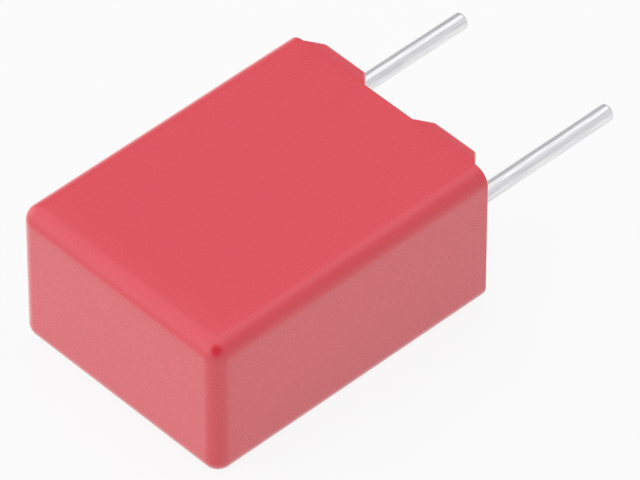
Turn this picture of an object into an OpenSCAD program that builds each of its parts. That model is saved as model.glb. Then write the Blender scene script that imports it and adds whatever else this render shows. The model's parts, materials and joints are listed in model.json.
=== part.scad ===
// Box film capacitor with two wires: a moulded case that is open at its base, a film winding pressed
// flat, a sprayed metal contact on each end face of the winding, a wire pressed flat and welded to
// each contact, and cast resin that fills the case and closes the base.
// It lies on a wide wall. +Z is the thickness, +Y is the way the wires leave, X is across the wires.
// The origin is the middle of the wide wall that it lies on.

/* [Case] */
// Width of the case, across the two wires
case_w = 7.2; // [6.8:0.1:10]
// Length of the case, from its closed end to the ends of the stand-off feet
case_l = 9.7; // [8.5:0.1:14]
// Thickness of the case, over both wide walls
case_t = 4.45; // [4:0.05:7]
// Thickness of the walls
wall = 0.4; // [0.3:0.05:0.55]
// Radius of the outer edges and corners
edge_r = 0.44; // [0.3:0.01:0.9]
// Radius of the corners inside
inner_r = 0.25; // [0.1:0.05:0.5]

/* [Stand-off feet] */
// Height of the feet over the base rim
foot_h = 0.4; // [0.2:0.05:0.6]
// Length of a foot along the rim, at its root
foot_w = 2.25; // [1.6:0.05:2.5]
// Gap between the two feet of a wide wall, at their roots
foot_gap = 1.73; // [1:0.01:2]
// How far each flank of a foot leans in over its height
foot_lean = 0.4; // [0.1:0.05:0.6]
// Radius of the corners in a foot's outline
foot_corner_r = 0.15; // [0.05:0.01:0.18]
// How far a foot's outer face leans in over its height
foot_draft = 0.1; // [0.02:0.01:0.15]
// Radius of the outer edge of a foot's end
foot_edge_r = 0.12; // [0.05:0.01:0.2]

/* [Winding] */
// Resin between the winding and the walls beside it
cast_gap = 0.2; // [0.1:0.05:0.4]
// Thickness of each sprayed metal contact
contact_t = 0.3; // [0.15:0.05:0.6]
// Resin between the winding and the base rim
seal_t = 1.1; // [0.8:0.05:2]
// Depth of the resin's surface under the base rim
seal_recess = 0.08; // [0.03:0.01:0.1]

/* [Wires] */
// Diameter of each wire
wire_d = 0.5; // [0.4:0.05:0.7]
// Distance between the wires, middle to middle
wire_pitch = 5; // [4.6:0.05:5.4]
// Length of the left wire beyond the ends of the feet
left_free = 4.65; // [3:0.05:25]
// Length of the right wire beyond the ends of the feet
right_free = 4.95; // [3:0.05:25]
// Height of the wires over the middle of the thickness
wire_rise = 0.1; // [-0.3:0.01:0.3]
// Radius round the cut end of each wire
wire_tip_r = 0.08; // [0.02:0.01:0.15]
// Thickness that each wire is pressed to inside the resin
flat_t = 0.33; // [0.28:0.01:0.4]
// Length of each wire that lies on its contact
weld_l = 4; // [2:0.1:5]
// Depth that each wire is sunk into its contact
weld_sink = 0.08; // [0.03:0.01:0.12]
// How far the resin creeps up each wire
creep_h = 0.1; // [0.05:0.01:0.2]

/* [Hidden] */
$fn = 64;

// How far a cutting shape runs past the surface that it cuts
over = 1;
// Straight pieces in each round stretch of a drawn outline
arc_steps = 8;

// Planes along the length
end_y = -case_l / 2;
seat_y = case_l / 2;
rim_y = seat_y - foot_h;
resin_y = rim_y - seal_recess;

// Room inside the case
cavity_w = case_w - 2 * wall;
cavity_t = case_t - 2 * wall;
cavity_y = end_y + wall;
mid_z = case_t / 2;

// Winding and contacts
winding_y0 = cavity_y + cast_gap;
winding_y1 = rim_y - seal_t;
winding_t = cavity_t - 2 * cast_gap;
wire_x = wire_pitch / 2;
wire_r = wire_d / 2;
contact_x = wire_x - flat_t / 2 + weld_sink;
film_x = contact_x - contact_t;

// Wires
wire_z = mid_z + wire_rise;
weld_y = winding_y1 - weld_l;
// Pressing keeps the area of the wire's section
flat_w = PI * wire_r * wire_r / flat_t;

// Points round [x, y] at radius r, from angle a0 to angle a1
function arc(x, y, r, a0, a1) = [
    for (i = [0 : arc_steps])
        let (a = a0 + (a1 - a0) * i / arc_steps)
        [x + r * cos(a), y + r * sin(a)]
];

// A rectangle round the origin with round corners
module rounded_rect(w, h, r) {
    square([w - 2 * r, h], center = true);
    square([w, h - 2 * r], center = true);
    for (sx = [-1, 1], sy = [-1, 1])
        translate([sx * (w / 2 - r), sy * (h / 2 - r)]) circle(r);
}

// Carries a flat shape, drawn in X and Z round the middle of the thickness, from y0 to y1
module along_y(y0, y1) {
    translate([0, y1, mid_z]) rotate([90, 0, 0]) linear_extrude(y1 - y0) children();
}

// Carries a flat shape, drawn in Z and Y round the middle of the thickness, from x0 to x1
module along_x(x0, x1) {
    translate([x0, 0, mid_z]) rotate([0, 90, 0]) linear_extrude(x1 - x0) children();
}

// The case's outline, w wide, from its round closed end to a plane across it
module body_outline(w, y1) {
    translate([-w / 2, end_y + edge_r]) square([w, y1 - end_y - edge_r]);
    translate([edge_r - w / 2, end_y]) square([w - 2 * edge_r, 2 * edge_r]);
    for (s = [-1, 1]) translate([s * (w / 2 - edge_r), end_y + edge_r]) circle(edge_r);
}

// Outline of a foot, w wide at the rim: its sides lean in to end corners of radius r
module foot_outline(w, lean, r) {
    lean_a = atan2(lean, foot_h);
    corner_x = w / 2 - lean - r * (1 - sin(lean_a)) / cos(lean_a);
    polygon(concat(
        [[-w / 2, 0], [-w / 2, -over], [w / 2, -over], [w / 2, 0]],
        arc(corner_x, foot_h - r, r, 90 - lean_a, 90),
        arc(-corner_x, foot_h - r, r, 90, 90 + lean_a)
    ));
}

// Seen through a wide wall: the body and the two feet of the wall
module plan_outline() {
    body_outline(case_w, rim_y);
    for (s = [-1, 1]) translate([s * (foot_gap + foot_w) / 2, rim_y])
        foot_outline(foot_w, foot_lean, foot_corner_r);
}

// Seen through a narrow wall: the body, and its feet, whose outer faces lean in
module side_outline() {
    body_outline(case_t, rim_y);
    translate([0, rim_y]) foot_outline(case_t, foot_draft, foot_edge_r);
}

// What the round corners of the closed end leave of square ones
module corner_trims() {
    for (sx = [-1, 1], sz = [-1, 1])
        translate([sx * (case_w / 2 - edge_r), end_y + edge_r, mid_z + sz * (mid_z - edge_r)])
            difference() {
                translate([(sx - 1) * over / 2, -over, (sz - 1) * over / 2]) cube(over);
                sphere(edge_r);
            }
}

// The room inside the case, from its end wall up to a plane across it
module cavity(y1) {
    along_y(cavity_y, y1) rounded_rect(cavity_w, cavity_t, inner_r);
}

// A length of the flat-pressed roll, with its round-ended section
module roll(x0, x1) {
    r = winding_t / 2;
    along_x(x0, x1) {
        translate([-r, winding_y0 + r]) square([winding_t, winding_y1 - winding_y0 - winding_t]);
        for (y = [winding_y0 + r, winding_y1 - r]) translate([0, y]) circle(r);
    }
}

// The flat-pressed stretch of the wire on side s, inside the resin
module flat_wire(s) {
    translate([s * wire_x, 0, wire_rise])
        along_y(weld_y, resin_y) square([flat_t, flat_w], center = true);
}

// One whole wire, on side s: flat where it lies in the resin, then a round rod with a rounded end
module wire(s) {
    wire_l = seat_y + (s < 0 ? left_free : right_free) - resin_y;
    flat_wire(s);
    translate([s * wire_x, resin_y, wire_z]) rotate([-90, 0, 0]) rotate_extrude()
        polygon(concat(
            [[0, 0], [wire_r, 0]],
            arc(wire_r - wire_tip_r, wire_l - wire_tip_r, wire_tip_r, 0, 90),
            [[0, wire_l]]
        ));
}

// Resin drawn up round the wire on side s, in a hollow curve
module creep(s) {
    translate([s * wire_x, resin_y, wire_z]) rotate([-90, 0, 0]) rotate_extrude()
        polygon(concat(
            [[0, creep_h]],
            arc(wire_r + creep_h, creep_h, creep_h, 180, 270),
            [[wire_r + creep_h, -creep_h], [0, -creep_h]]
        ));
}

module case() {
    color("#dd4f5f") difference() {
        intersection() {
            along_y(end_y - over, seat_y + over) rounded_rect(case_w, case_t, edge_r);
            linear_extrude(case_t) plan_outline();
            along_x(-case_w / 2, case_w / 2) side_outline();
        }
        corner_trims();
        cavity(seat_y + over);
    }
}

module resin_seal() {
    color("#b93a44") difference() {
        union() {
            cavity(resin_y);
            for (s = [-1, 1]) creep(s);
        }
        roll(-contact_x, contact_x);
        for (s = [-1, 1]) wire(s);
    }
}

module film_winding() {
    color("#b9bcc4") roll(-film_x, film_x);
}

// The sprayed metal on the winding's end face, on side s, with the trough that its wire lies in
module contact(s) {
    color("#8d9095") difference() {
        mirror([s < 0 ? 1 : 0, 0, 0]) roll(film_x, contact_x);
        flat_wire(s);
    }
}

module contact_left() {
    contact(-1);
}

module contact_right() {
    contact(1);
}

module lead_left() {
    color("#c9cacc") wire(-1);
}

module lead_right() {
    color("#c9cacc") wire(1);
}

case();
resin_seal();
film_winding();
contact_left();
contact_right();
lead_left();
lead_right();
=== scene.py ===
"""Dresses the box film capacitor: a moulded red case that lies on its side, with two tinned wires."""

from __future__ import annotations

import json
import logging
import math
from dataclasses import dataclass
from enum import Enum

import bmesh
import bpy
from mathutils import Matrix, Vector

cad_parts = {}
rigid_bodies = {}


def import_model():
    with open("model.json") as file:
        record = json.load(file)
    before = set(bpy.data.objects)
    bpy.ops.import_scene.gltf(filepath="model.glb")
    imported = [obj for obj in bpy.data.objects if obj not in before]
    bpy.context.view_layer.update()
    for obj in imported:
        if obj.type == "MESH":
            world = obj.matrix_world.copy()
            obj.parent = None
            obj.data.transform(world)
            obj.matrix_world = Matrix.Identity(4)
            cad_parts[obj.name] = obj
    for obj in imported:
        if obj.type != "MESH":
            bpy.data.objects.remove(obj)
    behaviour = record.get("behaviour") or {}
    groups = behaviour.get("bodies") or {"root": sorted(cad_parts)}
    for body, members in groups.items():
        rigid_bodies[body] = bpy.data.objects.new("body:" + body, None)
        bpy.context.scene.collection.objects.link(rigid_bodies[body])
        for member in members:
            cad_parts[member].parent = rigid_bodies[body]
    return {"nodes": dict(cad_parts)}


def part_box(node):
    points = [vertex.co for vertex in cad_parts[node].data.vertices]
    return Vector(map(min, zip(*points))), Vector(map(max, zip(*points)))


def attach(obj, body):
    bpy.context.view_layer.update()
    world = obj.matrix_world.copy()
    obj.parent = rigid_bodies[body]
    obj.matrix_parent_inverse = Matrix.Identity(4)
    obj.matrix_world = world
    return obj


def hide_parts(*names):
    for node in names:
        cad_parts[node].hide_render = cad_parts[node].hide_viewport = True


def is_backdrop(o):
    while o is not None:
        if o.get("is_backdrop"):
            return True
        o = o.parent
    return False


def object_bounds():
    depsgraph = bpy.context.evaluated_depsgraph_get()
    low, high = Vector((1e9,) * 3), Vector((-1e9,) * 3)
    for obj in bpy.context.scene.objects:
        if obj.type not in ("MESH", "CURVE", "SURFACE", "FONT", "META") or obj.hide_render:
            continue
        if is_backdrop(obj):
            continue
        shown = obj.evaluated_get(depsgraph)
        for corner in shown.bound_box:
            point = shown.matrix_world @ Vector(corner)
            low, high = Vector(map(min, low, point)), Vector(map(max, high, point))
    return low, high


LOG = logging.getLogger("film_capacitor")
MM = 0.001
BODY = "root"
Pair = tuple[float, float]
Triple = tuple[float, float, float]
Value = bpy.types.NodeSocket | float
VectorValue = bpy.types.NodeSocket | Triple | Vector
WHITE: Triple = (1.0, 1.0, 1.0)


class Slot(Enum):
    """The record's finishes, one for each kind of material in the part."""

    CASE = "moulded_red"
    RESIN = "cast_resin"
    FILM = "metallised_film"
    SPRAY = "sprayed_metal"
    WIRE = "tinned_wire"


class Side(Enum):
    """The two wires, by the sign of their place across the case."""

    LEFT = -1
    RIGHT = 1


class NodeHand:
    """Adds and joins nodes, so that a finish or a shape reads as a list of its steps."""

    def __init__(self, tree: bpy.types.NodeTree) -> None:
        """Keeps the tree and empties it.

        Args:
            tree: The node tree to fill.
        """
        self.tree = tree
        self.tree.nodes.clear()

    def add(self, kind: str, inputs: dict | None = None, **settings) -> bpy.types.Node:
        """Adds a node.

        Args:
            kind: The node's type name.
            inputs: Values or sockets by input name or number.
            settings: Properties of the node.

        Returns:
            The new node.
        """
        node = self.tree.nodes.new(kind)
        for name, value in settings.items():
            setattr(node, name, value)
        for name, value in (inputs or {}).items():
            self.fill(node.inputs[name], value)
        return node

    def maths(self, operation: str, a: Value, b: Value = 0.0, c: Value = 0.0) -> bpy.types.NodeSocket:
        """Adds a Math node.

        Args:
            operation: What it does.
            a: First value.
            b: Second value.
            c: Third value.

        Returns:
            The node's result.
        """
        return self.add("ShaderNodeMath", {0: a, 1: b, 2: c}, operation=operation).outputs[0]

    def position(self) -> bpy.types.NodeSocket:
        """Adds a Position node and gives its result."""
        return self.add("GeometryNodeInputPosition").outputs[0]

    def vector(
        self, operation: str, a: VectorValue, b: VectorValue = (0.0, 0.0, 0.0), scale: Value = 1.0
    ) -> bpy.types.Node:
        """Adds a Vector Math node.

        Args:
            operation: What it does.
            a: First vector or socket.
            b: Second vector or socket.
            scale: Factor, where the operation takes one.

        Returns:
            The node.
        """
        node = self.add("ShaderNodeVectorMath", {0: a, 1: b}, operation=operation)
        if operation == "SCALE":
            self.fill(node.inputs["Scale"], scale)
        return node

    def fill(self, socket: bpy.types.NodeSocket, value: object) -> None:
        """Sets a socket, or links it.

        Args:
            socket: The input to set.
            value: Its value, or the output that feeds it.
        """
        if isinstance(value, bpy.types.NodeSocket):
            self.tree.links.new(value, socket)
        else:
            socket.default_value = value

    def ease(
        self, value: Value, low: Value, high: Value, at_low: Value, at_high: Value
    ) -> bpy.types.NodeSocket:
        """Adds a smooth Map Range node.

        Args:
            value: The value to map.
            low: Where the change starts.
            high: Where the change ends.
            at_low: Result up to the start.
            at_high: Result past the end.

        Returns:
            The node's result.
        """
        steps = {0: value, 1: low, 2: high, 3: at_low, 4: at_high}
        return self.add("ShaderNodeMapRange", steps, interpolation_type="SMOOTHSTEP").outputs[0]

    def mix(self, factor: Value, first: Value, second: Value) -> bpy.types.NodeSocket:
        """Adds a Mix node for numbers.

        Args:
            factor: Share of the second number.
            first: First number.
            second: Second number.

        Returns:
            The mixed number.
        """
        return self.add("ShaderNodeMix", {0: factor, 2: first, 3: second}).outputs[0]

    def mix_colour(self, factor: Value, first: Triple, second: Triple) -> bpy.types.NodeSocket:
        """Adds a Mix node for colours.

        Args:
            factor: Share of the second colour.
            first: First colour.
            second: Second colour.

        Returns:
            The mixed colour.
        """
        ends = {0: factor, 6: rgba(first), 7: rgba(second)}
        return self.add("ShaderNodeMix", ends, data_type="RGBA").outputs[2]

    def noise(
        self, grain_mm: float, detail: float = 2.0, stretch: Triple = (1.0, 1.0, 1.0)
    ) -> bpy.types.NodeSocket:
        """Adds a noise on the piece's own coordinates.

        Args:
            grain_mm: Size of the noise's grain.
            detail: Its layers of finer grain.
            stretch: How many times longer the grain is along each axis.

        Returns:
            The noise, from 0 to 1.
        """
        place = self.add("ShaderNodeTexCoord").outputs["Object"]
        scale = tuple(1.0 / (grain_mm * MM * along) for along in stretch)
        spot = self.add("ShaderNodeMapping", {"Vector": place, "Scale": scale}).outputs[0]
        grain = {"Vector": spot, "Scale": 1.0, "Detail": detail}
        return self.add("ShaderNodeTexNoise", grain).outputs["Fac"]

    def bump(
        self, height: bpy.types.NodeSocket, depth_mm: float, under: bpy.types.NodeSocket | None = None
    ) -> bpy.types.NodeSocket:
        """Adds a Bump node.

        Args:
            height: The relief, from 0 to 1.
            depth_mm: Its depth.
            under: Normal of a coarser relief, if there is one.

        Returns:
            The normal.
        """
        node = self.add("ShaderNodeBump", {"Height": height, "Distance": depth_mm * MM, "Strength": 1.0})
        if under is not None:
            self.fill(node.inputs["Normal"], under)
        return node.outputs[0]


def rgba(colour: Triple) -> tuple[float, float, float, float]:
    """Adds a full alpha to a colour."""
    return (*colour, 1.0)


def new_material(name: str) -> tuple[bpy.types.Material, NodeHand]:
    """Makes an empty material.

    Args:
        name: Its name.

    Returns:
        The material and the hand that fills its nodes.
    """
    material = bpy.data.materials.new(name)
    material.use_nodes = True
    return material, NodeHand(material.node_tree)


@dataclass(frozen=True)
class MouldedPlastic:
    """Red thermoplastic as it leaves a finely blasted mould."""

    colour: Triple = (0.87, 0.032, 0.058)
    deep: Triple = (0.83, 0.027, 0.052)
    matt: float = 0.29
    bright: float = 0.24
    coat: float = 1.0
    coat_roughness: float = 0.2
    grain_mm: float = 0.05
    grain_depth_mm: float = 0.0012
    wave_mm: float = 0.9
    wave_depth_mm: float = 0.0015
    flow_mm: float = 0.6
    flow_stretch: Triple = (1.0, 5.0, 1.0)

    def build(self) -> bpy.types.Material:
        """Makes the material.

        Returns:
            The material.
        """
        material, hand = new_material(Slot.CASE.value)
        cloud = hand.noise(self.wave_mm, 1.0)
        grain = hand.noise(self.grain_mm, 3.0)
        flow = hand.noise(self.flow_mm, 2.0, self.flow_stretch)
        colour = hand.mix_colour(flow, self.deep, self.colour)
        gloss = hand.mix(hand.ease(grain, 0.3, 0.7, 0.0, 1.0), self.bright, self.matt)
        waves = hand.bump(cloud, self.wave_depth_mm)
        skin = hand.bump(grain, self.grain_depth_mm, waves)
        surface = {
            "Base Color": colour,
            "Roughness": gloss,
            "Normal": skin,
            "Coat Weight": self.coat,
            "Coat Roughness": self.coat_roughness,
            "Coat Normal": waves,
        }
        shader = hand.add("ShaderNodeBsdfPrincipled", surface)
        hand.add("ShaderNodeOutputMaterial", {"Surface": shader.outputs[0]})
        return material


@dataclass(frozen=True)
class CastResin:
    """Dark red epoxy, poured and left to set with a glossy, faintly pitted skin."""

    colour: Triple = (0.40, 0.022, 0.034)
    deep: Triple = (0.27, 0.014, 0.022)
    roughness: float = 0.12
    pit_mm: float = 0.35
    pit_share: float = 0.13
    pit_depth_mm: float = 0.012
    ripple_mm: float = 0.8
    ripple_depth_mm: float = 0.006
    smear_mm: float = 0.12

    def build(self) -> bpy.types.Material:
        """Makes the material.

        Returns:
            The material.
        """
        material, hand = new_material(Slot.RESIN.value)
        cloud = hand.noise(self.ripple_mm, 3.0)
        colour = hand.mix_colour(cloud, self.deep, self.colour)
        place = hand.add("ShaderNodeTexCoord").outputs["Object"]
        cells = {"Vector": place, "Scale": 1.0 / (self.pit_mm * MM)}
        spot = hand.add("ShaderNodeTexVoronoi", cells).outputs["Distance"]
        pits = hand.ease(spot, 0.4 * self.pit_share, self.pit_share, 0.0, 1.0)
        smears = hand.noise(self.smear_mm, 2.0)
        gloss = hand.mix(smears, 0.8 * self.roughness, 1.6 * self.roughness)
        ripples = hand.bump(cloud, self.ripple_depth_mm)
        skin = hand.bump(pits, self.pit_depth_mm, ripples)
        surface = {"Base Color": colour, "Roughness": gloss, "Normal": skin}
        shader = hand.add("ShaderNodeBsdfPrincipled", surface)
        hand.add("ShaderNodeOutputMaterial", {"Surface": shader.outputs[0]})
        return material


@dataclass(frozen=True)
class MetallisedFilm:
    """Plastic film with a vapour of metal on it, wound in fine turns."""

    colour: Triple = (0.62, 0.64, 0.68)
    edge: Triple = (0.38, 0.40, 0.45)
    roughness: float = 0.3
    turn_mm: float = 0.03
    turn_depth_mm: float = 0.003
    turn_stretch: Triple = (1.0, 60.0, 60.0)
    crease_mm: float = 0.5
    crease_stretch: Triple = (4.0, 1.0, 1.0)
    metal: float = 0.8

    def build(self) -> bpy.types.Material:
        """Makes the material.

        Returns:
            The material.
        """
        material, hand = new_material(Slot.FILM.value)
        turns = hand.noise(self.turn_mm, 1.0, self.turn_stretch)
        creases = hand.noise(self.crease_mm, 3.0, self.crease_stretch)
        colour = hand.mix_colour(turns, self.edge, self.colour)
        gloss = hand.mix(creases, 0.7 * self.roughness, 1.5 * self.roughness)
        folds = hand.bump(creases, 2.0 * self.turn_depth_mm)
        skin = hand.bump(turns, self.turn_depth_mm, folds)
        surface = {"Base Color": colour, "Roughness": gloss, "Normal": skin, "Metallic": self.metal}
        shader = hand.add("ShaderNodeBsdfPrincipled", surface)
        hand.add("ShaderNodeOutputMaterial", {"Surface": shader.outputs[0]})
        return material


@dataclass(frozen=True)
class SprayedMetal:
    """Zinc, sprayed on in droplets that freeze as a rough dull crust."""

    colour: Triple = (0.42, 0.43, 0.45)
    shade: Triple = (0.22, 0.23, 0.25)
    roughness: float = 0.6
    droplet_mm: float = 0.05
    crust_depth_mm: float = 0.02
    metal: float = 0.85

    def build(self) -> bpy.types.Material:
        """Makes the material.

        Returns:
            The material.
        """
        material, hand = new_material(Slot.SPRAY.value)
        place = hand.add("ShaderNodeTexCoord").outputs["Object"]
        cells = {"Vector": place, "Scale": 1.0 / (self.droplet_mm * MM)}
        drops = hand.add("ShaderNodeTexVoronoi", cells).outputs["Distance"]
        patches = hand.noise(4.0 * self.droplet_mm, 4.0)
        colour = hand.mix_colour(patches, self.shade, self.colour)
        gloss = hand.mix(drops, 0.8 * self.roughness, 1.2 * self.roughness)
        crust = hand.bump(drops, self.crust_depth_mm, hand.bump(patches, self.crust_depth_mm))
        surface = {"Base Color": colour, "Roughness": gloss, "Normal": crust, "Metallic": self.metal}
        shader = hand.add("ShaderNodeBsdfPrincipled", surface)
        hand.add("ShaderNodeOutputMaterial", {"Surface": shader.outputs[0]})
        return material


@dataclass(frozen=True)
class TinnedWire:
    """Tin on drawn wire: bright, with faint scratches along its length."""

    colour: Triple = (0.86, 0.86, 0.87)
    dull: Triple = (0.72, 0.72, 0.735)
    roughness: float = 0.2
    scratch_mm: float = 0.03
    scratch_depth_mm: float = 0.0008
    bead_mm: float = 0.25
    bead_depth_mm: float = 0.003
    scratch_stretch: Triple = (1.0, 25.0, 1.0)
    bead_stretch: Triple = (1.0, 3.0, 1.0)

    def build(self) -> bpy.types.Material:
        """Makes the material.

        Returns:
            The material.
        """
        material, hand = new_material(Slot.WIRE.value)
        scratches = hand.noise(self.scratch_mm, 2.0, self.scratch_stretch)
        beads = hand.noise(self.bead_mm, 2.0, self.bead_stretch)
        colour = hand.mix_colour(hand.ease(scratches, 0.3, 0.6, 0.0, 1.0), self.dull, self.colour)
        gloss = hand.mix(scratches, 1.4 * self.roughness, 0.7 * self.roughness)
        swell = hand.bump(beads, self.bead_depth_mm)
        skin = hand.bump(scratches, self.scratch_depth_mm, swell)
        surface = {"Base Color": colour, "Roughness": gloss, "Normal": skin, "Metallic": 1.0}
        shader = hand.add("ShaderNodeBsdfPrincipled", surface)
        hand.add("ShaderNodeOutputMaterial", {"Surface": shader.outputs[0]})
        return material


def finish_piece(piece: bpy.types.Object, slot: Slot, stands_for: tuple[str, ...] = ()) -> None:
    """Hands a finished piece to the frame and reports it.

    Args:
        piece: The piece, in place.
        slot: The record's finish that it takes.
        stands_for: CAD nodes that it replaces.
    """
    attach(piece, BODY)
    if stands_for:
        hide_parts(*stands_for)
    LOG.info("%s: %d vertices, %s", piece.name, len(piece.data.vertices), slot.value)


@dataclass(frozen=True)
class Column:
    """One column of the case's skin: where it stands round the case, and the top edge that it crosses."""

    core: Pair
    out: Pair
    room: Pair
    height: float
    slope: float


@dataclass
class MouldedCase:
    """The red case: a box open at its base, with round edges and two stand-off feet on each wide wall.

    Its skin is a grid. Each column runs from the closed end along the outside, over the rim or a foot,
    and down the inside. Sizes are in millimetres, and the fields that end in steps or rows count samples.
    """

    edge_r: float = 0.46
    wall: float = 0.4
    inner_r: float = 0.25
    foot_h: float = 0.4
    foot_w: float = 2.25
    foot_gap: float = 1.73
    foot_lean: float = 0.4
    foot_corner_r: float = 0.15
    foot_draft: float = 0.1
    foot_edge_r: float = 0.11
    rim_edge_r: float = 0.06
    root_r: float = 0.05
    inner_edge_r: float = 0.03
    kink: float = 0.04
    sink: float = 0.012
    low_band: float = 0.35
    bend_share: float = 0.8
    soft_share: float = 0.4
    inner_drops: Triple = (0.12, 0.4, 1.2)
    corner_lead_deg: float = 30.0
    slack: float = 1e-6
    arc_steps: int = 14
    wall_rows: int = 14
    edge_steps: int = 7
    top_steps: int = 4
    foot_flat_steps: int = 6
    foot_corner_steps: int = 8
    foot_flank_steps: int = 5
    foot_root_steps: int = 5
    gap_steps: int = 4
    lead_steps: int = 4
    narrow_steps: int = 5

    def __post_init__(self) -> None:
        """Takes the box from the CAD case."""
        low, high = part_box("case")
        self.half_w = (high.x - low.x) / 2 / MM
        self.half_t = (high.z - low.z) / 2 / MM
        self.mid_z = (high.z + low.z) / 2 / MM
        self.end_y = low.y / MM
        self.rim_y = high.y / MM - self.foot_h
        self.core_x = self.half_w - self.edge_r
        self.core_z = self.half_t - self.edge_r
        self.room_x = self.half_w - self.wall - self.inner_r
        self.room_z = self.half_t - self.wall - self.inner_r

    def half_foot(self) -> list[Triple]:
        """Samples the outline of half a foot, from its middle outwards.

        Returns:
            Distance from the foot's middle, height over the rim and slope angle of each sample.
        """
        fall = math.pi / 2 - math.atan2(self.foot_lean, self.foot_h)
        r = self.foot_corner_r
        corner = self.foot_w / 2 - self.foot_lean - r * (1 - math.cos(fall)) / math.sin(fall)
        n = self.foot_flat_steps
        points = [(corner * i / n, self.foot_h, 0.0) for i in range(n)]
        for i in range(self.foot_corner_steps + 1):
            turn = fall * i / self.foot_corner_steps
            points.append((corner + r * math.sin(turn), self.foot_h - r + r * math.cos(turn), turn))
        root = self.foot_w / 2 + self.root_r * math.tan(fall / 2)
        ends = []
        for i in range(self.foot_root_steps + 1):
            turn = fall * (1 - i / self.foot_root_steps)
            lift = self.root_r * (1 - math.cos(turn))
            ends.append((root - self.root_r * math.sin(turn), lift, turn))
        (x0, h0, _), (x1, h1, _) = points[-1], ends[0]
        n = self.foot_flank_steps
        points += [(x0 + (x1 - x0) * i / n, h0 + (h1 - h0) * i / n, fall) for i in range(1, n)]
        return points + ends

    def wide_wall(self) -> list[Triple]:
        """Samples the top edge of a wide wall, from left to right.

        Returns:
            Place across the case, height over the rim and slope angle of each sample.
        """
        half = self.half_foot()
        foot = [(-x, h, -turn) for x, h, turn in reversed(half[1:])] + half
        middle = (self.foot_gap + self.foot_w) / 2
        right = [(x + middle, h, turn) for x, h, turn in foot]
        gap = right[0][0]
        n = self.gap_steps
        between = [(gap * i / n, 0.0, 0.0) for i in range(1 - n, n)]
        left = [(-x, h, -turn) for x, h, turn in reversed(right)]
        return [(-self.core_x, 0.0, 0.0), *left, *between, *right, (self.core_x, 0.0, 0.0)]

    def narrow_wall(self) -> list[float]:
        """Samples a narrow wall across.

        Returns:
            Place of each sample over the middle of the thickness, from the top down.
        """
        m, n = self.lead_steps, self.narrow_steps
        near = [self.core_z + (self.room_z - self.core_z) * i / m for i in range(m + 1)]
        far = [self.room_z * (1 - i / n) for i in range(1, n + 1)]
        upper = near + far
        return upper + [-z for z in reversed(upper[:-1])]

    def inside(self, x: float, z: float, turn: float | None) -> tuple[float, float]:
        """Finds where a column's inner side runs.

        Args:
            x: Place of its outer side across the case.
            z: Place of its outer side over the middle.
            turn: Angle round the outer corner, or None on a straight wall.

        Returns:
            The inner side's place.
        """
        sx, sz = math.copysign(1.0, x), math.copysign(1.0, z)
        along_x, along_z = abs(x), abs(z)
        lead = math.radians(self.corner_lead_deg)
        if turn is not None:
            angle = lead + turn * (1 - 2 * lead / (math.pi / 2))
        elif along_z > self.core_z + self.slack:
            if along_x <= self.room_x:
                return x, sz * (self.half_t - self.wall)
            share = (along_x - self.room_x) / (self.core_x - self.room_x)
            angle = math.pi / 2 - lead * share
        else:
            if along_z <= self.room_z:
                return sx * (self.half_w - self.wall), z
            share = (along_z - self.room_z) / (self.core_z - self.room_z)
            angle = lead * share
        r = self.inner_r
        return sx * (self.room_x + r * math.cos(angle)), sz * (self.room_z + r * math.sin(angle))

    def columns(self) -> list[Column]:
        """Lists the grid's columns round the case.

        Returns:
            The columns.
        """
        listed = []

        def put(
            core: Pair, out: Pair, turn: float | None, height: float = 0.0, slope: float = 0.0
        ) -> None:
            """Adds a column.

            Args:
                core: Middle of the outer edge's rounding beside it.
                out: Its outward direction.
                turn: Angle round the outer corner, or None on a straight wall.
                height: Height of its top over the rim.
                slope: Slope angle of its top.
            """
            x, z = core[0] + out[0] * self.edge_r, core[1] + out[1] * self.edge_r
            listed.append(Column(core, out, self.inside(x, z, turn), height, slope))

        wide, narrow = self.wide_wall(), self.narrow_wall()
        for sx, sz in ((1, 1), (1, -1), (-1, -1), (-1, 1)):
            across = sx * sz > 0
            if across:
                for x, height, slope in wide:
                    put((sz * x, sz * self.core_z), (0.0, float(sz)), None, height, sz * slope)
            else:
                for z in narrow:
                    put((sx * self.core_x, sx * z), (float(sx), 0.0), None)
            for i in range(1, self.arc_steps):
                share = i / self.arc_steps
                turn = math.pi / 2 * ((1 - share) if across else share)
                corner = (sx, sz) if across else (sx, -sx)
                out = (corner[0] * math.cos(turn), corner[1] * math.sin(turn))
                put((corner[0] * self.core_x, corner[1] * self.core_z), out, turn)
        return listed

    def lean_in(self, y: float) -> float:
        """How far a foot's outer face has leaned in at a height, with a soft start at the rim."""
        rise = y - self.rim_y
        return self.foot_draft / self.foot_h * (rise + math.hypot(rise, self.kink / 2)) / 2

    def sunk(self, x: float, y: float, out: Pair) -> float:
        """Finds how far a wide wall has sunk in as the plastic cooled.

        Args:
            x: Place across the case.
            y: Place along the case.
            out: The wall's outward direction.

        Returns:
            The depth, which is zero on a narrow wall and round the edges.
        """
        if abs(out[1]) < 1.0:
            return 0.0
        half_l = (self.rim_y - self.end_y) / 2
        along = (y - self.end_y - half_l) / half_l
        return self.sink * max(0.0, 1 - (x / self.core_x) ** 2) * max(0.0, 1 - along * along)

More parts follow.
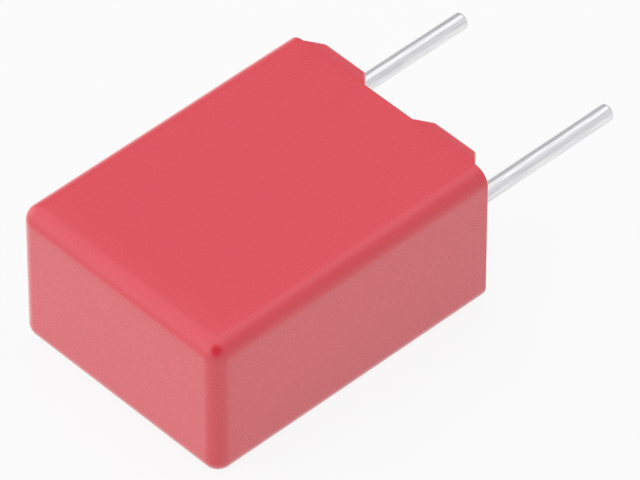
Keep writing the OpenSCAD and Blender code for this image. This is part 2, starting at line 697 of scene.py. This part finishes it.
    def column_points(self, column: Column) -> list[Triple]:
        """Places a column's points, from the closed end over the rim to the room's floor.

        Args:
            column: The column.

        Returns:
            The points, in millimetres, over the middle of the thickness.
        """
        core, out, room, slope = column.core, column.out, column.room, column.slope
        top = self.rim_y + column.height
        face = (core[0] + out[0] * self.edge_r, core[1] + out[1] * self.edge_r)
        points = []
        for i in range(self.arc_steps + 1):
            turn = math.pi / 2 * (1 - i / self.arc_steps)
            reach = self.edge_r * math.cos(turn)
            y = self.end_y + self.edge_r * (1 - math.sin(turn))
            points.append((core[0] + out[0] * reach, y, core[1] + out[1] * reach))
        share = min(1.0, column.height / self.foot_h)
        edge = self.rim_edge_r + (self.foot_edge_r - self.rim_edge_r) * share * share * (3 - 2 * share)
        sway = math.sin(slope)

        def over(depth: float, drop: float, y_now: float | None = None, x_shift: float = 0.0) -> Triple:
            """Places a point near the top edge.

            Args:
                depth: Its depth in the wall.
                drop: Its distance under the top edge, square to it.
                y_now: Its place along the case, where that is given in place of the drop.
                x_shift: Its shift across the case, where its place along it is given.

            Returns:
                The point.
            """
            y = top - drop * math.cos(slope) if y_now is None else y_now
            lean = self.lean_in(y) if column.height > 0 or y_now is None else 0.0
            inward = (depth + lean * max(0.0, 1 - depth / self.wall)) / self.wall
            x = face[0] + (room[0] - face[0]) * inward - (drop * sway if y_now is None else x_shift)
            z = face[1] + (room[1] - face[1]) * inward
            return (x, y, z)

        low_y, start_y = self.rim_y - self.low_band, top - edge * math.cos(slope)
        first = self.end_y + self.edge_r
        for i in range(1, self.wall_rows + 1):
            y = first + (low_y - first) * i / self.wall_rows
            fade = self.sunk(face[0], y, out)
            points.append((face[0], y, face[1] - out[1] * fade))
        bend = min(self.rim_y, low_y + self.bend_share * (start_y - low_y))
        soft = min(self.kink, (start_y - bend) * self.soft_share)
        for y in (bend - soft, bend, bend + soft, bend + soft + (start_y - bend - soft) / 2):
            shift = edge * sway * (y - low_y) / (start_y - low_y)
            fade = self.sunk(face[0], y, out)
            x, y, z = over(0.0, 0.0, y, shift)
            points.append((x, y, z - out[1] * fade))
        for i in range(self.edge_steps + 1):
            turn = math.pi / 2 * i / self.edge_steps
            points.append(over(edge * (1 - math.cos(turn)), edge * (1 - math.sin(turn))))
        last, n = self.wall - self.inner_edge_r, self.top_steps
        points += [over(edge + (last - edge) * i / n, 0.0) for i in range(1, n + 1)]
        for i in range(1, n + 1):
            turn = math.pi / 2 * i / n
            depth = last + self.inner_edge_r * math.sin(turn)
            points.append(over(depth, self.inner_edge_r * (1 - math.cos(turn))))
        inner_x = points[-1][0]
        for drop in self.inner_drops:
            points.append((inner_x, self.rim_y - drop, room[1]))
            inner_x = room[0]
        points.append((inner_x, self.end_y + self.wall, room[1]))
        return points

    def end_cap(self) -> tuple[list[Triple], list[tuple[int, ...]]]:
        """Closes the flat of the closed end with a grid.

        Returns:
            The grid's points and faces.
        """
        across = [x for x, _, _ in self.wide_wall()]
        down = self.narrow_wall()
        points = [(x, self.end_y, z) for z in down for x in across]
        n = len(across)
        faces = [
            (j * n + i, j * n + i + 1, (j + 1) * n + i + 1, (j + 1) * n + i)
            for j in range(len(down) - 1)
            for i in range(n - 1)
        ]
        return points, faces

    def build(self, finish: bpy.types.Material) -> bpy.types.Object:
        """Builds the case.

        Args:
            finish: Its material.

        Returns:
            The case.
        """
        rows = [self.column_points(column) for column in self.columns()]
        tall, around = len(rows[0]), len(rows)
        points = [point for row in rows for point in row]
        faces = [
            (i * tall + j, i * tall + j + 1, (i + 1) % around * tall + j + 1, (i + 1) % around * tall + j)
            for i in range(around)
            for j in range(tall - 1)
        ]
        faces.append(tuple(i * tall + tall - 1 for i in range(around)))
        cap_points, cap_faces = self.end_cap()
        faces += [tuple(index + len(points) for index in face) for face in cap_faces]
        points += cap_points
        mesh = bpy.data.meshes.new("moulded_case")
        mesh.from_pydata([(x * MM, y * MM, (z + self.mid_z) * MM) for x, y, z in points], [], faces)
        close_mesh(mesh)
        mesh.materials.append(finish)
        case = bpy.data.objects.new("moulded_case", mesh)
        bpy.context.scene.collection.objects.link(case)
        finish_piece(case, Slot.CASE, ("case",))
        return case


def close_mesh(mesh: bpy.types.Mesh, merge_mm: float = 0.0002, sharp_deg: float = 38.0) -> None:
    """Merges a mesh's seams, turns its faces outwards and shades it smooth up to sharp edges.

    Args:
        mesh: The mesh.
        merge_mm: Distance within which points are one.
        sharp_deg: Angle between two faces past which their edge is sharp.
    """
    hand = bmesh.new()
    hand.from_mesh(mesh)
    bmesh.ops.remove_doubles(hand, verts=hand.verts, dist=merge_mm * MM)
    bmesh.ops.dissolve_degenerate(hand, dist=merge_mm * MM / 4, edges=hand.edges)
    bmesh.ops.recalc_face_normals(hand, faces=hand.faces)
    for face in hand.faces:
        face.smooth = True
    for edge in hand.edges:
        edge.smooth = not (edge.is_manifold and edge.calc_face_angle() > math.radians(sharp_deg))
    hand.to_mesh(mesh)
    hand.free()


class ShapeTree:
    """A Geometry Nodes tree with named inputs, which is run once and leaves a plain mesh."""

    def __init__(self, name: str, inputs: dict[str, float | int | Triple | bpy.types.Material]) -> None:
        """Makes the tree's inputs.

        Args:
            name: Name of the tree.
            inputs: Its inputs by name, with their values.
        """
        self.name, self.values = name, inputs
        self.tree = bpy.data.node_groups.new(name, "GeometryNodeTree")
        self.hand = NodeHand(self.tree)
        kinds = {float: "NodeSocketFloat", int: "NodeSocketInt", tuple: "NodeSocketVector"}
        self.ids: dict[str, str] = {}
        self.tree.interface.new_socket("Geometry", in_out="INPUT", socket_type="NodeSocketGeometry")
        for label, value in inputs.items():
            kind = kinds.get(type(value), "NodeSocketMaterial")
            socket = self.tree.interface.new_socket(label, in_out="INPUT", socket_type=kind)
            self.ids[label] = socket.identifier
        self.tree.interface.new_socket("Geometry", in_out="OUTPUT", socket_type="NodeSocketGeometry")
        self.given = self.hand.add("NodeGroupInput").outputs

    def close(self, geometry: bpy.types.NodeSocket) -> None:
        """Ends the tree with plain, dressed geometry.

        Args:
            geometry: The finished shape.
        """
        real = self.hand.add("GeometryNodeRealizeInstances", {0: geometry}).outputs[0]
        finish = {"Geometry": real, "Material": self.given["Finish"]}
        dressed = self.hand.add("GeometryNodeSetMaterial", finish).outputs[0]
        self.hand.add("NodeGroupOutput", {0: dressed})

    def run(self, piece_name: str) -> bpy.types.Object:
        """Runs the tree on an empty mesh and keeps the result as a plain piece.

        Args:
            piece_name: Name of the piece.

        Returns:
            The piece.
        """
        holder = bpy.data.objects.new(piece_name + "_holder", bpy.data.meshes.new(piece_name + "_seed"))
        bpy.context.scene.collection.objects.link(holder)
        modifier = holder.modifiers.new(self.name, "NODES")
        modifier.node_group = self.tree
        for label, value in self.values.items():
            modifier[self.ids[label]] = value
        bpy.context.view_layer.update()
        evaluated = holder.evaluated_get(bpy.context.evaluated_depsgraph_get())
        mesh = bpy.data.meshes.new_from_object(evaluated)
        mesh.name = piece_name
        holder.modifiers.remove(modifier)
        bpy.data.objects.remove(holder)
        piece = bpy.data.objects.new(piece_name, mesh)
        bpy.context.scene.collection.objects.link(piece)
        return piece


@dataclass
class WireLead:
    """A tinned wire that leaves the resin straight and ends in a cut tip. Sizes are in millimetres."""

    side: Side
    radius: float = 0.25
    tip_r: float = 0.08
    sunk: float = 0.3
    rings: int = 150
    sides: int = 64
    swell: float = 0.004
    swells_per_m: Triple = (6e3, 7e2, 6e3)
    crowding: float = 2.6
    seed: float = 11.0

    @property
    def node(self) -> str:
        """Name of the CAD wire."""
        return "lead_" + self.side.name.lower()

    def build(self, finish: bpy.types.Material, resin_y: float) -> bpy.types.Object:
        """Sweeps the wire along its line.

        Args:
            finish: Its material.
            resin_y: Where it leaves the resin, in millimetres.

        Returns:
            The wire.
        """
        low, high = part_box(self.node)
        middle = ((low.x + high.x) / 2 / MM, (low.z + high.z) / 2 / MM)
        start = (middle[0] * MM, (resin_y - self.sunk) * MM, middle[1] * MM)
        shape = ShapeTree(
            "wire_sweep",
            {
                "Start": start,
                "Length": high.y - start[1] - self.swell * MM,
                "Radius": (self.radius - self.swell) * MM,
                "Tip Radius": self.tip_r * MM,
                "Swell": self.swell * MM,
                "Rings": self.rings,
                "Sides": self.sides,
                "Seed": self.seed + self.side.value,
                "Finish": finish,
            },
        )
        hand, given = shape.hand, shape.given
        reach = hand.add("ShaderNodeCombineXYZ", {"Y": given["Length"]}).outputs[0]
        line = hand.add("GeometryNodeCurvePrimitiveLine", {"End": reach}).outputs[0]
        line = hand.add("GeometryNodeResampleCurve", {"Curve": line, "Count": given["Rings"]}).outputs[0]
        share = hand.add("GeometryNodeSplineParameter").outputs["Factor"]
        left = hand.maths("POWER", hand.maths("SUBTRACT", 1.0, share), self.crowding)
        gone = hand.maths("MULTIPLY", hand.maths("SUBTRACT", 1.0, left), given["Length"])
        along = hand.add("ShaderNodeCombineXYZ", {"Y": gone}).outputs[0]
        path = hand.add("GeometryNodeSetPosition", {"Geometry": line, "Position": along}).outputs[0]
        now = hand.add("ShaderNodeSeparateXYZ", {0: hand.position()}).outputs["Y"]
        to_tip = hand.maths("MAXIMUM", hand.maths("SUBTRACT", given["Length"], now), 0.0)
        near = hand.maths("MINIMUM", to_tip, given["Tip Radius"])
        inner = hand.maths("SUBTRACT", given["Tip Radius"], near)
        whole = hand.maths("MULTIPLY", given["Tip Radius"], given["Tip Radius"])
        square = hand.maths("SUBTRACT", whole, hand.maths("MULTIPLY", inner, inner))
        rounding = hand.maths("SQRT", hand.maths("MAXIMUM", square, 0.0))
        radius = hand.maths("ADD", hand.maths("SUBTRACT", given["Radius"], given["Tip Radius"]), rounding)
        ring = hand.add("GeometryNodeCurvePrimitiveCircle", {"Resolution": given["Sides"], "Radius": 1.0})
        sweep = {"Curve": path, "Profile Curve": ring.outputs[0], "Scale": radius, "Fill Caps": True}
        rod = hand.add("GeometryNodeCurveToMesh", sweep).outputs[0]
        spot = hand.vector("MULTIPLY", hand.position(), self.swells_per_m)
        noise = hand.add(
            "ShaderNodeTexNoise",
            {"Vector": spot.outputs[0], "W": given["Seed"], "Scale": 1.0, "Detail": 1.0},
            noise_dimensions="4D",
        ).outputs["Fac"]
        amount = hand.maths("MULTIPLY", hand.maths("SUBTRACT", noise, 0.5), given["Swell"])
        normal = hand.add("GeometryNodeInputNormal").outputs[0]
        push = hand.vector("SCALE", normal, scale=amount).outputs[0]
        rod = hand.add("GeometryNodeSetPosition", {"Geometry": rod, "Offset": push}).outputs[0]
        rod = hand.add("GeometryNodeTransform", {"Geometry": rod, "Translation": given["Start"]}).outputs[0]
        shape.close(rod)
        wire = shape.run("wire_" + self.side.name.lower())
        close_mesh(wire.data)
        finish_piece(wire, Slot.WIRE, (self.node,))
        return wire


@dataclass
class ResinSkin:
    """The resin's set surface, which climbs at the walls and round the wires. Sizes are in millimetres."""

    inner_r: float = 0.25
    base: float = 0.012
    wall_climb: float = 0.045
    wall_reach: float = 0.12
    wire_climb: float = 0.13
    wire_reach: float = 0.075
    ripple: float = 0.008
    ripples_per_m: float = 900.0
    across: int = 150
    down: int = 84
    seed: float = 5.0

    def build(
        self,
        finish: bpy.types.Material,
        room: Triple,
        mid_z: float,
        resin_y: float,
        wires: tuple[Triple, Triple],
    ) -> bpy.types.Object:
        """Lays the skin on the CAD resin.

        Args:
            finish: Its material.
            room: Half the room's width, half its thickness and the wires' radius.
            mid_z: Middle of the thickness.
            resin_y: Level of the CAD resin.
            wires: Where each wire leaves the resin.

        Returns:
            The skin.
        """
        half_x, half_z, wire_r = room
        shape = ShapeTree(
            "resin_surface",
            {
                "Half Width": half_x * MM,
                "Half Thickness": half_z * MM,
                "Corner Radius": self.inner_r * MM,
                "Wall Climb": self.wall_climb * MM,
                "Wire Climb": self.wire_climb * MM,
                "Wire Radius": wire_r * MM,
                "Left Wire": tuple(v * MM for v in wires[0]),
                "Right Wire": tuple(v * MM for v in wires[1]),
                "Middle": (0.0, resin_y * MM, mid_z * MM),
                "Across": self.across,
                "Down": self.down,
                "Seed": self.seed,
                "Finish": finish,
            },
        )
        hand, given = shape.hand, shape.given
        thick = self.base * MM
        width = hand.maths("MULTIPLY", given["Half Width"], 2.0)
        tall = hand.maths("MULTIPLY", given["Half Thickness"], 2.0)
        size = hand.add("ShaderNodeCombineXYZ", {"X": width, "Y": thick, "Z": tall}).outputs[0]
        sheet = hand.add(
            "GeometryNodeMeshCube",
            {"Size": size, "Vertices X": given["Across"], "Vertices Y": 2, "Vertices Z": given["Down"]},
        ).outputs[0]
        place = hand.add("ShaderNodeSeparateXYZ", {0: hand.position()}).outputs
        core = hand.maths("SUBTRACT", given["Half Width"], given["Corner Radius"])
        core_z = hand.maths("SUBTRACT", given["Half Thickness"], given["Corner Radius"])
        over_x = hand.maths("SUBTRACT", hand.maths("ABSOLUTE", place["X"]), core)
        over_z = hand.maths("SUBTRACT", hand.maths("ABSOLUTE", place["Z"]), core_z)
        over_x, over_z = hand.maths("MAXIMUM", over_x, 0.0), hand.maths("MAXIMUM", over_z, 0.0)
        longest = hand.maths("MAXIMUM", over_x, over_z)
        square_x = hand.maths("MULTIPLY", over_x, over_x)
        square_z = hand.maths("MULTIPLY", over_z, over_z)
        length = hand.maths("SQRT", hand.maths("ADD", square_x, square_z))
        factor = hand.maths("DIVIDE", longest, hand.maths("MAXIMUM", length, 1e-9))

        def rounded(value: bpy.types.NodeSocket, past: bpy.types.NodeSocket) -> bpy.types.NodeSocket:
            """Draws a corner's points in onto its round outline."""
            cut = hand.maths("MULTIPLY", past, hand.maths("SUBTRACT", 1.0, factor))
            return hand.maths("SUBTRACT", value, hand.maths("MULTIPLY", cut, hand.maths("SIGN", value)))

        x, z = rounded(place["X"], over_x), rounded(place["Z"], over_z)
        side_x = hand.maths("SUBTRACT", given["Half Width"], hand.maths("ABSOLUTE", place["X"]))
        side_z = hand.maths("SUBTRACT", given["Half Thickness"], hand.maths("ABSOLUTE", place["Z"]))
        to_wall = hand.maths("MINIMUM", side_x, side_z)
        at_wall = hand.maths("EXPONENT", hand.maths("DIVIDE", to_wall, -self.wall_reach * MM))
        lift = hand.maths("MULTIPLY", at_wall, given["Wall Climb"])
        flat_spot = hand.add("ShaderNodeCombineXYZ", {"X": x, "Z": z}).outputs[0]
        spot = hand.vector("ADD", flat_spot, given["Middle"]).outputs[0]
        for label in ("Left Wire", "Right Wire"):
            away = hand.vector("DISTANCE", spot, given[label]).outputs["Value"]
            away = hand.maths("MAXIMUM", hand.maths("SUBTRACT", away, given["Wire Radius"]), 0.0)
            at_wire = hand.maths("EXPONENT", hand.maths("DIVIDE", away, -self.wire_reach * MM))
            lift = hand.maths("MAXIMUM", lift, hand.maths("MULTIPLY", at_wire, given["Wire Climb"]))
        waves = hand.add(
            "ShaderNodeTexNoise",
            {"Vector": spot, "W": given["Seed"], "Scale": self.ripples_per_m, "Detail": 2.0},
            noise_dimensions="4D",
        ).outputs["Fac"]
        lift = hand.maths("ADD", lift, hand.maths("MULTIPLY", waves, self.ripple * MM))
        is_top = hand.maths("GREATER_THAN", place["Y"], 0.0)
        lift = hand.maths("MULTIPLY", lift, is_top)
        y = hand.maths("ADD", hand.maths("ADD", place["Y"], thick / 2), lift)
        spread = hand.add("ShaderNodeCombineXYZ", {"X": x, "Y": y, "Z": z}).outputs[0]
        sheet = hand.add("GeometryNodeSetPosition", {"Geometry": sheet, "Position": spread}).outputs[0]
        move = {"Geometry": sheet, "Translation": given["Middle"]}
        sheet = hand.add("GeometryNodeTransform", move).outputs[0]
        shape.close(sheet)
        skin = shape.run("resin_skin")
        close_mesh(skin.data)
        finish_piece(skin, Slot.RESIN)
        return skin


@dataclass
class LightTent:
    """A white floor inside a soft tent of light, with a darker opening on the camera's side.

    Each patch of the tent has a level, a way that it faces from, and the two ends of its soft edge, as the
    cosine of the angle from its middle.
    """

    floor_size: float = 0.6
    floor_white: float = 0.8
    back: float = 0.55
    right: float = 0.8
    front_left: float = 1.35
    overhead: float = 1.25
    opening: float = 0.15
    right_way: Triple = (1.0, 0.35, 0.1)
    right_edge: Pair = (0.1, 0.8)
    front_left_way: Triple = (-0.75, -0.9, 0.35)
    front_left_edge: Pair = (0.35, 0.8)
    overhead_way: Triple = (-0.1, 0.0, 1.0)
    overhead_edge: Pair = (0.68, 0.88)
    opening_way: Triple = (0.523, -0.511, 0.682)
    opening_edge: Pair = (0.75, 0.92)
    tint: Triple = (1.0, 0.99, 1.02)
    floor_glow: float = 0.9

    def build_floor(self, level: float) -> bpy.types.Object:
        """Lays the floor.

        Args:
            level: Height of the floor.

        Returns:
            The floor.
        """
        mesh = bpy.data.meshes.new("floor")
        half = self.floor_size / 2
        corners = [(-half, -half, level), (half, -half, level), (half, half, level), (-half, half, level)]
        mesh.from_pydata(corners, [], [(0, 1, 2, 3)])
        floor = bpy.data.objects.new("floor", mesh)
        bpy.context.scene.collection.objects.link(floor)
        material, hand = new_material("white_floor")
        path = hand.add("ShaderNodeLightPath")
        seen = hand.maths("MAXIMUM", path.outputs["Is Camera Ray"], path.outputs["Is Glossy Ray"])
        seen = hand.maths("MAXIMUM", seen, path.outputs["Is Transmission Ray"])
        matt = hand.add("ShaderNodeBsdfDiffuse", {"Color": rgba((self.floor_white,) * 3)})
        glow = hand.add("ShaderNodeEmission", {"Color": rgba(WHITE), "Strength": 1.0})
        share = hand.maths("MULTIPLY", seen, self.floor_glow)
        lit = hand.add("ShaderNodeMixShader", {0: share, 1: matt.outputs[0], 2: glow.outputs[0]})
        under = hand.add("ShaderNodeBsdfTransparent")
        back = hand.add("ShaderNodeNewGeometry").outputs["Backfacing"]
        surface = hand.add("ShaderNodeMixShader", {0: back, 1: lit.outputs[0], 2: under.outputs[0]})
        hand.add("ShaderNodeOutputMaterial", {"Surface": surface.outputs[0]})
        mesh.materials.append(material)
        floor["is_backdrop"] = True
        return floor

    def build_world(self) -> None:
        """Lights the scene with the tent's walls and top."""
        world = bpy.data.worlds.new("light_tent")
        bpy.context.scene.world = world
        world.use_nodes = True
        hand = NodeHand(world.node_tree)
        way = hand.add("ShaderNodeTexCoord").outputs["Generated"]
        unit = hand.vector("NORMALIZE", way).outputs[0]

        def towards(direction: Triple) -> bpy.types.NodeSocket:
            """How far the ray points along a direction, from -1 to 1."""
            return hand.vector("DOT_PRODUCT", unit, Vector(direction).normalized()).outputs["Value"]

        side = hand.ease(towards(self.right_way), *self.right_edge, self.back, self.right)
        front = hand.ease(towards(self.front_left_way), *self.front_left_edge, 0.0, 1.0)
        level = hand.mix(front, side, self.front_left)
        high = hand.ease(towards(self.overhead_way), *self.overhead_edge, 0.0, 1.0)
        level = hand.mix(high, level, self.overhead)
        lens = hand.ease(towards(self.opening_way), *self.opening_edge, 0.0, 1.0)
        level = hand.mix(lens, level, self.opening)
        tent = hand.add("ShaderNodeBackground", {"Color": rgba(self.tint), "Strength": level})
        white = hand.add("ShaderNodeBackground", {"Color": rgba(WHITE), "Strength": 1.0})
        camera = hand.add("ShaderNodeLightPath").outputs["Is Camera Ray"]
        both = hand.add("ShaderNodeMixShader", {0: camera, 1: tent.outputs[0], 2: white.outputs[0]})
        hand.add("ShaderNodeOutputWorld", {"Surface": both.outputs[0]})


@dataclass
class ViewCamera:
    """The camera that looks down on the closed end's corner."""

    place: Triple = (0.10594, -0.09852, 0.14418)
    azimuth: float = 46.486
    elevation: float = 44.391
    roll: float = 0.036
    lens_mm: float = 455.68
    sensor_mm: float = 36.0
    clip: Pair = (0.005, 5.0)

    def build(self) -> bpy.types.Object:
        """Makes the camera and hands it to the scene.

        Returns:
            The camera.
        """
        data = bpy.data.cameras.new("camera")
        data.lens, data.sensor_width = self.lens_mm, self.sensor_mm
        data.clip_start, data.clip_end = self.clip
        camera = bpy.data.objects.new("camera", data)
        around, up = math.radians(self.azimuth), math.radians(self.elevation)
        back = Vector((math.sin(around) * math.cos(up), -math.cos(around) * math.cos(up), math.sin(up)))
        right = Vector((math.cos(around), math.sin(around), 0.0))
        above = back.cross(right)
        turn = Matrix((right, above, back)).transposed() @ Matrix.Rotation(math.radians(self.roll), 3, "Z")
        camera.matrix_world = Matrix.Translation(self.place) @ turn.to_4x4()
        bpy.context.scene.collection.objects.link(camera)
        bpy.context.scene.camera = camera
        return camera


@dataclass
class Capacitor:
    """The whole part: its new pieces, and the CAD pieces that keep their own shape."""

    nodes: dict[str, bpy.types.Object]
    seal_recess: float = 0.08

    def dress_nodes(self, finishes: dict[Slot, bpy.types.Material]) -> None:
        """Gives each CAD piece its finish.

        Args:
            finishes: The materials by slot.
        """
        slots = {
            "case": Slot.CASE,
            "resin_seal": Slot.RESIN,
            "film_winding": Slot.FILM,
            "contact_left": Slot.SPRAY,
            "contact_right": Slot.SPRAY,
            "lead_left": Slot.WIRE,
            "lead_right": Slot.WIRE,
        }
        for name, slot in slots.items():
            materials = self.nodes[name].data.materials
            materials.clear()
            materials.append(finishes[slot])
            LOG.info("%s: CAD piece, %s", name, slot.value)

    def build(self) -> None:
        """Builds the pieces in order."""
        finishes = {
            Slot.CASE: MouldedPlastic().build(),
            Slot.RESIN: CastResin().build(),
            Slot.FILM: MetallisedFilm().build(),
            Slot.SPRAY: SprayedMetal().build(),
            Slot.WIRE: TinnedWire().build(),
        }
        self.dress_nodes(finishes)
        case = MouldedCase()
        case.build(finishes[Slot.CASE])
        resin_y = case.rim_y - self.seal_recess
        places = []
        for side in Side:
            wire = WireLead(side)
            wire.build(finishes[Slot.WIRE], resin_y)
            low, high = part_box(wire.node)
            places.append(((low.x + high.x) / 2 / MM, resin_y, (low.z + high.z) / 2 / MM))
        room = (case.half_w - case.wall, case.half_t - case.wall, WireLead.radius)
        ResinSkin().build(finishes[Slot.RESIN], room, case.mid_z, resin_y, (places[0], places[1]))


def main() -> None:
    """Loads the frame, builds the pieces in order, then lights and views them."""
    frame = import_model()
    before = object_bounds()
    Capacitor(frame["nodes"]).build()
    tent = LightTent()
    tent.build_floor(before[0].z)
    tent.build_world()
    ViewCamera().build()
    bpy.context.scene.view_settings.view_transform = "Standard"


if __name__ == "__main__":
    logging.basicConfig(level=logging.INFO, format="%(message)s")
    main()
